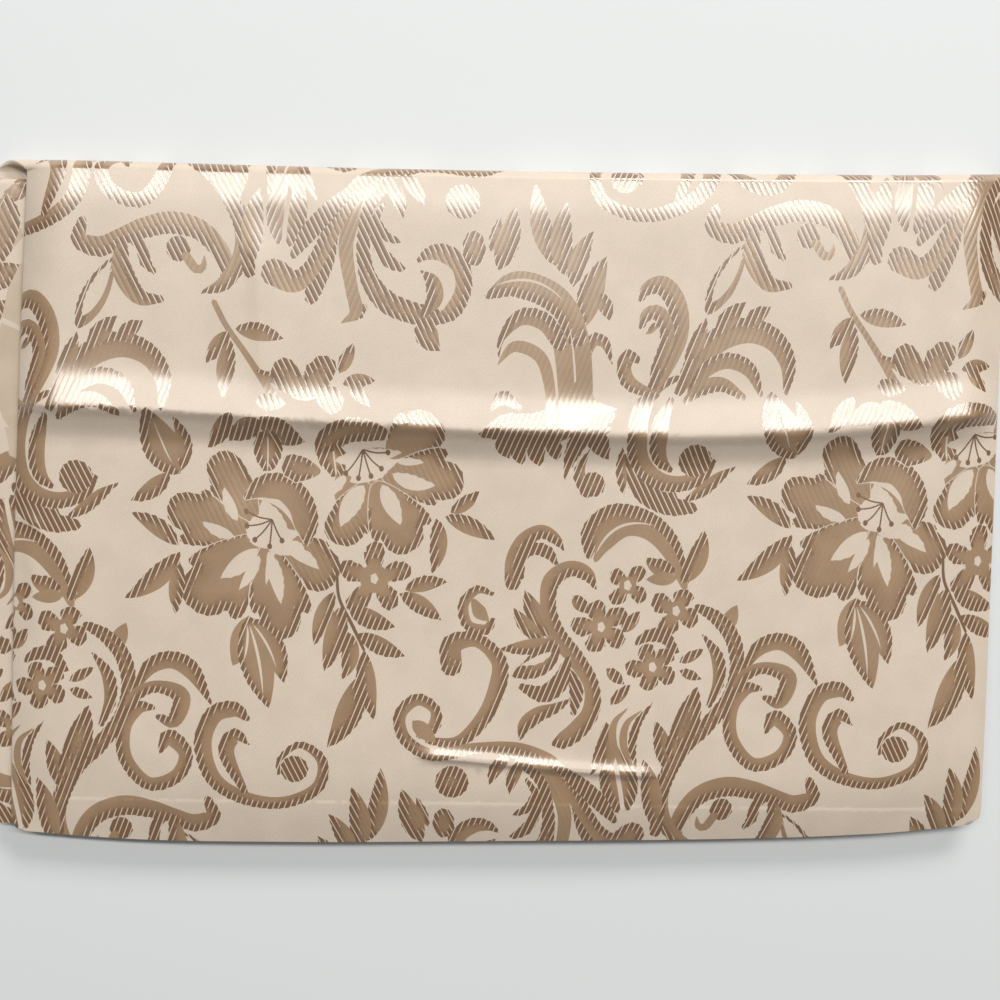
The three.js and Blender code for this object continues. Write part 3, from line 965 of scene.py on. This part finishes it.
def add_folds(plan, facets, steps):
    """The lines along which the side folds and the turns are faceted."""
    v_end = float(leg_starts(np.zeros(1))[-1][0])
    v = np.concatenate([np.arange(-205, 210, steps[0]), np.arange(210, v_end + 10, steps[1])])
    _, hub_left, hub_right, _ = fold_lines(v)
    for i in range(facets + 1):
        plan.add(strip(v, hub_left - FOLD_ARC * i / facets), joined=True)
        plan.add(strip(v, hub_right + FOLD_ARC * i / facets), joined=True)
    u = np.arange(-560, 572, 2.0 * steps[0])
    for number, leg in enumerate(LEGS):
        if not leg.turn:
            continue
        rows = 2 * facets if leg.radius == WIDE else facets
        for i in range(rows + 1):
            line = np.full_like(u, 0.0)
            for _ in range(3):
                starts = leg_starts(lie(u, line, 0)[:, 0])
                line = starts[number] + math.pi * leg.outer * i / rows
            plan.add(strip(line, u), joined=True)


def add_grid(plan, pitch, u_span, v_span):
    u, v = np.meshgrid(np.arange(*u_span, pitch[0]), np.arange(*v_span, pitch[1]))
    shift = np.where(np.arange(len(v)) % 2, pitch[0] / 2, 0.0)
    plan.add(np.stack([(u + shift[:, None]).ravel(), v.ravel()], 1))


def add_creases(plan, offs):
    for row in CREASES:
        path = curve_through(row["path"])
        for off in offs:
            side = row["before"] if off < 0 else row["after"]
            way = np.array([0, 1]) if row["runs"] == "x" else np.array([1, 0])
            plan.add(path + off * side * way)


def face_plan(edge, woven):
    plan = Plan()
    plan.add(edge, joined=True, closed=True)
    add_folds(plan, facets=6, steps=(5, 14))
    add_grid(plan, (7.3, 6.1), **TOP_PANEL)
    add_grid(plan, (17, 15), **UNDER_PANEL)
    add_grid(plan, (43, 37), **INNER_PANELS)
    u = np.arange(-270, 284, 5.0)
    crest = flowing(u, CREST_X, CREST_Y)
    for away in np.arange(-18, 25, 1.7):
        plan.add(strip(crest + away + 0.4 * np.sin(u), u))
    add_creases(plan, np.arange(-1.5, 1.6, 0.5))
    hem = flowing(u, HEM_X, HEM_Y)
    for away in HEM_LINES:
        plan.add(strip(hem + away, u))
    for copy in woven:
        plan.add(copy.edge, joined=True, closed=True)
        if copy.motif.ground:
            continue
        run = np.roll(copy.edge, -1, 0) - np.roll(copy.edge, 1, 0)
        run /= np.hypot(*run.T)[:, None]
        across = np.stack([-run[:, 1], run[:, 0]], 1)
        for side in (1, -1):
            ring = (copy.edge + side * across * copy.motif.rim[:, None])[::2]
            wide = copy.motif.rim[::2] > 1
            ring = ring[wide]
            ring = ring[inside(copy.edge, ring)] if len(ring) else ring
            if len(ring):
                plan.add(ring[depth_in(copy.edge, copy.motif.rim, ring) > RIM_MARGIN])
    return plan


def back_plan(edge):
    plan = Plan()
    plan.add(edge, joined=True, closed=True)
    add_folds(plan, facets=4, steps=(12, 30))
    add_grid(plan, (26, 22), **TOP_PANEL)
    add_grid(plan, (70, 60), **HIDDEN_PANELS)
    u = np.arange(-272, 284, 7.0)
    for away in RIDGE_LINES:
        plan.add(strip(flowing(u, CREST_X, CREST_Y) + away, u))
    add_creases(plan, (-1.4, -0.7, 0, 0.7, 1.4))
    return plan


def within(edge, points, triangles):
    """The triangles inside the cloth's own outline."""
    middles = points[triangles].mean(1)
    kept = np.concatenate([inside(edge, part) for part in np.array_split(middles, 60)])
    return triangles[kept]


def rim_edges(triangles):
    """The directed edges that only one triangle has."""
    pairs = np.concatenate([triangles[:, [0, 1]], triangles[:, [1, 2]], triangles[:, [2, 0]]])
    size = int(pairs.max()) + 1
    keys = pairs[:, 0] * size + pairs[:, 1]
    back = pairs[:, 1] * size + pairs[:, 0]
    return pairs[~np.isin(keys, back)]


def normals_at(points, face):
    """The cloth's normals by how it lies on either side of each point."""
    h = 0.3
    u, v = points.T
    across = lie(u + h, v, face) - lie(u - h, v, face)
    along = lie(u, v + h, face) - lie(u, v - h, face)
    found = np.cross(across, along)
    return found / np.maximum(np.linalg.norm(found, axis=1), 1e-12)[:, None]


LINE_ANGLE = math.radians(66)  # steepness of the binding lines
LINE_PITCH = 3.0


def mark_weave(points, triangles, woven):
    """For each triangle whether it is a float, and for each of its corners the binding lines' phase
    and how deep it lies in its motif."""
    owner = np.full(len(triangles), -1)
    middles = points[triangles].mean(1)
    for number, copy in enumerate(woven):
        near = np.flatnonzero(((middles > copy.low) & (middles < copy.high)).all(1))
        if len(near):
            owner[near[inside(copy.edge, middles[near])]] = number
    floats = np.zeros(len(triangles), bool)
    marks = np.zeros((len(triangles), 3, 2))
    for number, copy in enumerate(woven):
        mine = np.flatnonzero(owner == number)
        if not len(mine) or copy.motif.ground:
            continue
        floats[mine] = True
        used, back = np.unique(triangles[mine], return_inverse=True)
        depth = depth_in(copy.edge, copy.motif.rim, points[used])
        at = in_design(points[used]) - copy.home
        lean = copy.motif.slant
        if copy.mirrored:
            at[:, 0] = GLIDE_ACROSS - at[:, 0]
        phase = (at[:, 0] * math.sin(LINE_ANGLE) - lean * at[:, 1] * math.cos(LINE_ANGLE)) / LINE_PITCH
        phase = phase if lean else phase * 0 + 0.5
        found = np.stack([phase, np.minimum(depth, 2)], 1)
        marks[mine] = found[back.reshape(-1, 3)]
    return floats, marks


def build_cloth():
    woven = woven_in(FACE_WINDOWS)
    edge = border()
    plan = face_plan(edge, woven)
    face_points, face_tris = plan.triangulate()
    face_tris = within(edge, face_points, face_tris)
    used, flat = np.unique(face_tris, return_inverse=True)
    face_points, face_tris = face_points[used], flat.reshape(-1, 3)
    rim = rim_edges(face_tris)

    follow = dict(zip(rim[:, 0].tolist(), rim[:, 1].tolist()))
    loop = [int(rim[0, 0])]
    while follow[loop[-1]] != loop[0]:
        loop.append(follow[loop[-1]])
    loop = np.array(loop)

    edge = face_points[loop]
    back_points, back_tris = back_plan(edge).triangulate()
    back_tris = within(edge, back_points, back_tris)
    used, flat = np.unique(back_tris, return_inverse=True)
    back_points, back_tris = back_points[used], flat.reshape(-1, 3)
    back_rim = rim_edges(back_tris)

    def key(point):
        return tuple(np.round(point, 2))

    twin = {key(back_points[i]): int(i) for i in np.unique(back_rim)}
    return woven, face_points, face_tris, loop, back_points, back_tris, twin, key


woven, face_points, face_tris, loop, back_points, back_tris, twin, key = build_cloth()
floats, marks = mark_weave(face_points, face_tris, woven)

face_at = lie(*face_points.T, HALF)
back_at = lie(*back_points.T, HALF - SHEET)
raw = np.concatenate([face_at, back_at])
cad_low, cad_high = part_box("folded_cloth")
middle = np.array([(cad_low[i] + cad_high[i]) / 2 for i in (0, 1)]) / MM
shift = np.array([*(middle - (raw.min(0) + raw.max(0))[:2] / 2), -face_at[:, 2].min()])

n_face = len(face_points)
sides = []
for a, b in zip(loop, np.roll(loop, -1)):
    c, d = twin.get(key(face_points[b])), twin.get(key(face_points[a]))
    if c is not None and d is not None:
        sides.append((int(b), int(a), n_face + d, n_face + c))
polygons = [*face_tris.tolist(), *(back_tris[:, ::-1] + n_face).tolist(), *sides]

mesh = bpy.data.meshes.new("cloth")
mesh.from_pydata(((raw + shift) * MM).tolist(), [], polygons)
cloth = bpy.data.objects.new("cloth", mesh)
bpy.context.scene.collection.objects.link(cloth)
slots = np.zeros(len(polygons), np.int32)
slots[: len(face_tris)] = np.where(floats, 1, 0)
slots[len(face_tris):] = 2
mesh.polygons.foreach_set("material_index", slots)

turn_starts = leg_starts(np.zeros(1))
half_roll = float(turn_starts[1][0] + turn_starts[2][0]) / 2

# The cloth's flat map, on which the top panel has most of the room: for each part, the cloth's
# point that lies at that place of the map, and how many millimetres the whole map would be across.
MAP = dict(
    top=dict(point=(4, -2), place=(0.5, 0.672), across=604),
    under=dict(point=(-300, half_roll), place=(0.006, 0.004), across=1290),
    hidden=dict(point=(150, -560), place=(0.495, 0.012), across=5300),
    back=dict(point=(150, -560), place=(0.79, 0.012), across=6600),
)
MAP_STRIP = 0.001  # width on the map of the cloth's cut edges


def on_map(part, first, second):
    """The map's places of a part's points, given by their measures along the map's two sides."""
    row = MAP[part]
    pairs = zip((first, second), row["point"], row["place"])
    return np.stack([place + (values - point) / row["across"] for values, point, place in pairs], 1)


top = on_map("top", *face_points.T)
under = on_map("under", *face_points.T)
hidden = on_map("hidden", *face_points.T[::-1])
middles = face_points[face_tris].mean(1)
hub_lines = fold_lines(middles[:, 1])
outward = (middles[:, 0] > hub_lines[1] - FOLD_ARC * 0.7) & (middles[:, 0] < hub_lines[2] + FOLD_ARC * 0.7)
on_top = outward & (middles[:, 1] < half_roll)
on_under = outward & ~on_top & (middles[:, 1] < float(turn_starts[3][0]) + 1)
places = np.where(on_top[:, None, None], top[face_tris], hidden[face_tris])
places = np.where(on_under[:, None, None], under[face_tris], places)
back_corners = back_tris[:, ::-1]
back_places = on_map("back", *back_points.T[::-1])
inwards = np.array([MAP_STRIP, 0])
side_places = [[hidden[b], hidden[a], hidden[a] - inwards, hidden[b] - inwards] for b, a, _, _ in sides]
bake = np.concatenate([
    places.reshape(-1, 2),
    back_places[back_corners].reshape(-1, 2),
    np.array(side_places).reshape(-1, 2),
])

weave_face = in_design(face_points)
side_weave = [[face_points[b], face_points[a], face_points[a], face_points[b]] for b, a, _, _ in sides]
weave = np.concatenate([
    weave_face[face_tris].reshape(-1, 2),
    back_points[back_corners].reshape(-1, 2),
    np.array(side_weave).reshape(-1, 2),
])
binding = np.concatenate([marks.reshape(-1, 2), np.zeros((len(back_tris) * 3 + len(sides) * 4, 2))])
for name, values in (("OFBake", bake), ("weave", weave), ("binding", binding)):
    layer = mesh.uv_layers.new(name=name, do_init=False)
    layer.uv.foreach_set("vector", values.astype(np.float32).ravel())
mesh.uv_layers.active = mesh.uv_layers["OFBake"]
mesh.uv_layers["OFBake"].active_render = True

mesh.update()
mesh.shade_smooth()
face_normals = normals_at(face_points, HALF)
back_normals = -normals_at(back_points, HALF - SHEET)
side_normals = []
for polygon in mesh.polygons[len(face_tris) + len(back_tris):]:
    side_normals += [tuple(polygon.normal)] * 4
normals = np.concatenate([
    face_normals[face_tris].reshape(-1, 3),
    back_normals[back_corners].reshape(-1, 3),
    np.array(side_normals).reshape(-1, 3),
])
mesh.normals_split_custom_set(normals.tolist())


# ---- Yarn and finish ----------------------------------------------------------------------------
# A cream satin ground, tan weft floats of a brighter yarn that catch the light, and the matt back.
# The floats are darker at their bound rims, and paler where they lie long and loose.

GROUND = (0.725, 0.605, 0.488)
FLOAT_BODY = (0.410, 0.246, 0.128)
FLOAT_PALE = (0.515, 0.345, 0.198)  # where the floats lie long and loose, far from a bound edge
FLOAT_RIM = (0.175, 0.086, 0.034)
FLOAT_LINE = (0.680, 0.530, 0.390)
BACK = (0.560, 0.450, 0.340)
TWILL_PITCH = 1.35
RIB_WANDER = 0.9  # millimetres by which uneven yarn shifts a rib
RIB_RISE = 0.15  # height of a rib on the floats
STRAND_RISE = 4.0  # how deep the gap between two bundles of floats is, in the same unit
BUMP = 0.0001  # metres
# The binding lines: the share of their pitch at which one begins and is full, the depths between
# which it ends, and how unevenly. Depths are shares of the bound rim's.
LINE_SIDES = (0.37, 0.44)
LINE_ENDS = (0.8, 1.05)
LINE_UNEVEN = 0.9
RIM_FADE = (0.55, 1.3)
LOOSE_FROM = (1.0, 3.4)
FLOAT_ROUGH = 0.36
RIB_POLISH = -0.10  # how much smoother the top of a rib is
LINE_DULL = 0.20  # how much rougher a binding line is


def new_group(name, inputs, outputs):
    group = bpy.data.node_groups.new(name, "ShaderNodeTree")
    for label, kind, value in inputs:
        socket = group.interface.new_socket(label, in_out="INPUT", socket_type=kind)
        socket.default_value = value
    for label, kind in outputs:
        group.interface.new_socket(label, in_out="OUTPUT", socket_type=kind)
    return group, group.nodes.new("NodeGroupInput"), group.nodes.new("NodeGroupOutput")


def math_node(tree, operation, a, b=0.0, c=0.0):
    node = tree.nodes.new("ShaderNodeMath")
    node.operation = operation
    for socket, value in zip(node.inputs, (a, b, c)):
        if isinstance(value, bpy.types.NodeSocket):
            tree.links.new(value, socket)
        else:
            socket.default_value = value
    return node.outputs[0]


def range_node(tree, value, low, high, to_low=0.0, to_high=1.0):
    node = tree.nodes.new("ShaderNodeMapRange")
    node.interpolation_type = "SMOOTHSTEP"
    tree.links.new(value, node.inputs["Value"])
    for name, number in (("From Min", low), ("From Max", high), ("To Min", to_low), ("To Max", to_high)):
        node.inputs[name].default_value = number
    return node.outputs["Result"]


def map_node(tree, layer):
    node = tree.nodes.new("ShaderNodeUVMap")
    node.uv_map = layer
    split = tree.nodes.new("ShaderNodeSeparateXYZ")
    tree.links.new(node.outputs["UV"], split.inputs[0])
    return node.outputs["UV"], split.outputs[0], split.outputs[1]


def noise_node(tree, vector, scale, detail=2.0):
    node = tree.nodes.new("ShaderNodeTexNoise")
    node.inputs["Scale"].default_value = scale
    node.inputs["Detail"].default_value = detail
    tree.links.new(vector, node.inputs["Vector"])
    return node.outputs["Fac"]


def mix_colour(tree, share, a, b):
    node = tree.nodes.new("ShaderNodeMix")
    node.data_type = "RGBA"
    for socket, value in ((node.inputs[0], share), (node.inputs[6], a), (node.inputs[7], b)):
        if isinstance(value, bpy.types.NodeSocket):
            tree.links.new(value, socket)
        else:
            socket.default_value = (*value, 1) if isinstance(value, tuple) else value
    return node.outputs[2]


def twill_group():
    """Fine slanting ribs of the weave, broken up by uneven yarn: a height and a slow mottle."""
    group, given, out = new_group(
        "twill", [("Pitch", "NodeSocketFloat", 1.0), ("Slope", "NodeSocketFloat", 1.0)],
        [("Rib", "NodeSocketFloat"), ("Mottle", "NodeSocketFloat")])
    uv, x, y = map_node(group, "weave")
    rough = noise_node(group, uv, 0.9)
    lean = math_node(group, "MULTIPLY", y, given.outputs["Slope"])
    wander = math_node(group, "MULTIPLY", rough, RIB_WANDER)
    lean = math_node(group, "ADD", math_node(group, "SUBTRACT", x, lean), wander)
    turns = math_node(group, "DIVIDE", lean, given.outputs["Pitch"])
    phase = math_node(group, "MULTIPLY", turns, 2 * math.pi)
    rib = math_node(group, "MULTIPLY_ADD", math_node(group, "SINE", phase), 0.5, 0.5)
    group.links.new(rib, out.inputs["Rib"])
    group.links.new(noise_node(group, uv, 0.05, 4.0), out.inputs["Mottle"])
    return group


twill = twill_group()


def yarn_material(name, roughness, ior, specular, tint=(1, 1, 1)):
    material = bpy.data.materials.new(name)
    material.use_nodes = True
    tree = material.node_tree
    shader = tree.nodes["Principled BSDF"]
    shader.inputs["Roughness"].default_value = roughness
    shader.inputs["IOR"].default_value = ior
    shader.inputs["Specular IOR Level"].default_value = specular
    shader.inputs["Specular Tint"].default_value = (*tint, 1)
    ribs = tree.nodes.new("ShaderNodeGroup")
    ribs.node_tree = twill
    return material, tree, shader, ribs


def raise_weave(tree, shader, height, distance, strength):
    bump = tree.nodes.new("ShaderNodeBump")
    bump.inputs["Distance"].default_value = distance
    bump.inputs["Strength"].default_value = strength
    tree.links.new(height, bump.inputs["Height"])
    tree.links.new(bump.outputs[0], shader.inputs["Normal"])


def toned(tree, ribs, colour, rib_groove_shade, mottle_share):
    """A yarn colour, darker in the grooves between the ribs as painted shade, and a little darker in slow
    patches.
    """
    patch = tree.nodes.new("ShaderNodeHueSaturation")
    slow = range_node(tree, ribs.outputs["Mottle"], 0.3, 0.7, 1 - mottle_share, 1 + mottle_share)
    # Painted shade: the colour darkens where the rib height is low, in the grooves that the bump also makes.
    painted_groove_shade = math_node(tree, "MULTIPLY_ADD", ribs.outputs["Rib"], rib_groove_shade, 1 - rib_groove_shade)
    tree.links.new(math_node(tree, "MULTIPLY", slow, painted_groove_shade), patch.inputs["Value"])
    if isinstance(colour, tuple):
        patch.inputs["Color"].default_value = (*colour, 1)
    else:
        tree.links.new(colour, patch.inputs["Color"])
    return patch.outputs[0]


ground, tree, shader, ribs = yarn_material("satin_ground", 0.42, 1.5, 0.5)
ribs.inputs["Pitch"].default_value = TWILL_PITCH
tree.links.new(toned(tree, ribs, GROUND, 0.26, 0.03), shader.inputs["Base Color"])
raise_weave(tree, shader, ribs.outputs["Rib"], BUMP, 0.25)

weft, tree, shader, ribs = yarn_material("weft_floats", 0.28, 1.85, 1.0, (1.0, 0.975, 0.92))
ribs.inputs["Pitch"].default_value = TWILL_PITCH
_, phase, depth = map_node(tree, "binding")
uv, _, _ = map_node(tree, "weave")
ragged = noise_node(tree, uv, 0.55)
saw = math_node(tree, "ABSOLUTE", math_node(tree, "SUBTRACT", math_node(tree, "FRACT", phase), 0.5))
line = range_node(tree, saw, *LINE_SIDES)
uneven = math_node(tree, "MULTIPLY_ADD", ragged, LINE_UNEVEN, -LINE_UNEVEN / 2)
reach = math_node(tree, "ADD", depth, uneven)
line = math_node(tree, "MULTIPLY", line, range_node(tree, reach, *LINE_ENDS, 1.0, 0.0))
rim = range_node(tree, reach, *RIM_FADE, 1.0, 0.0)
loose = range_node(tree, depth, *LOOSE_FROM)
body = toned(tree, ribs, mix_colour(tree, loose, FLOAT_BODY, FLOAT_PALE), 0.46, 0.08)
bound = mix_colour(tree, rim, body, FLOAT_RIM)
tree.links.new(mix_colour(tree, line, bound, FLOAT_LINE), shader.inputs["Base Color"])
dull = math_node(tree, "MULTIPLY_ADD", ribs.outputs["Rib"], RIB_POLISH, FLOAT_ROUGH)
tree.links.new(math_node(tree, "MULTIPLY_ADD", line, LINE_DULL, dull), shader.inputs["Roughness"])
strand = math_node(tree, "MULTIPLY", math_node(tree, "MULTIPLY", saw, saw), 4.0)
gaps = math_node(tree, "MULTIPLY", strand, -STRAND_RISE)
height = math_node(tree, "MULTIPLY_ADD", ribs.outputs["Rib"], RIB_RISE, gaps)
raise_weave(tree, shader, height, BUMP, 0.2)

reverse, tree, shader, ribs = yarn_material("matt_back", 0.8, 1.5, 0.3)
ribs.inputs["Pitch"].default_value = TWILL_PITCH
tree.links.new(toned(tree, ribs, BACK, 0.15, 0.06), shader.inputs["Base Color"])
raise_weave(tree, shader, ribs.outputs["Rib"], BUMP, 0.3)

for material in (ground, weft, reverse):
    mesh.materials.append(material)

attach(cloth, "root")
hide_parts("folded_cloth")


# ---- Table top and light ------------------------------------------------------------------------
# A plain pale top under the cloth. The light is a long, narrow soft box high beyond the far edge,
# a larger one low beyond it, and an even sky.

FLOOR_COLOUR = (0.69, 0.71, 0.71)
FLOOR_DROP = 0.0004  # metres below the cloth
DAYLIGHT = (1.0, 0.993, 0.98)
SKY_COLOUR = (1.0, 0.99, 0.98)
SKY = 0.19

bpy.ops.mesh.primitive_plane_add(size=6, location=(0, 0, -FLOOR_DROP))
floor = bpy.context.object
floor.name = "table_top"
floor_finish = bpy.data.materials.new("table_top")
floor_finish.use_nodes = True
floor_shader = floor_finish.node_tree.nodes["Principled BSDF"]
floor_shader.inputs["Base Color"].default_value = (*FLOOR_COLOUR, 1)
floor_shader.inputs["Roughness"].default_value = 0.8
floor.data.materials.append(floor_finish)

bpy.context.scene.view_settings.view_transform = "Standard"
world = bpy.data.worlds.new("sky")
bpy.context.scene.world = world
world.use_nodes = True
world.node_tree.nodes["Background"].inputs["Color"].default_value = (*SKY_COLOUR, 1)
world.node_tree.nodes["Background"].inputs["Strength"].default_value = SKY


def soft_box(name, towards, distance, size, power):
    lamp = bpy.data.lights.new(name, "AREA")
    lamp.shape = "RECTANGLE"
    lamp.size, lamp.size_y = size
    lamp.energy = power
    lamp.color = DAYLIGHT
    box = bpy.data.objects.new(name, lamp)
    bpy.context.scene.collection.objects.link(box)
    box.location = Vector(towards).normalized() * distance
    box.rotation_euler = Vector(towards).to_track_quat("Z", "Y").to_euler()


soft_box("far_window", towards=(0.05, 0.43, 0.90), distance=2.8, size=(3.6, 0.25), power=66.0)
soft_box("low_window", towards=(0.30, 0.84, 0.46), distance=5.0, size=(2.6, 1.2), power=160.0)
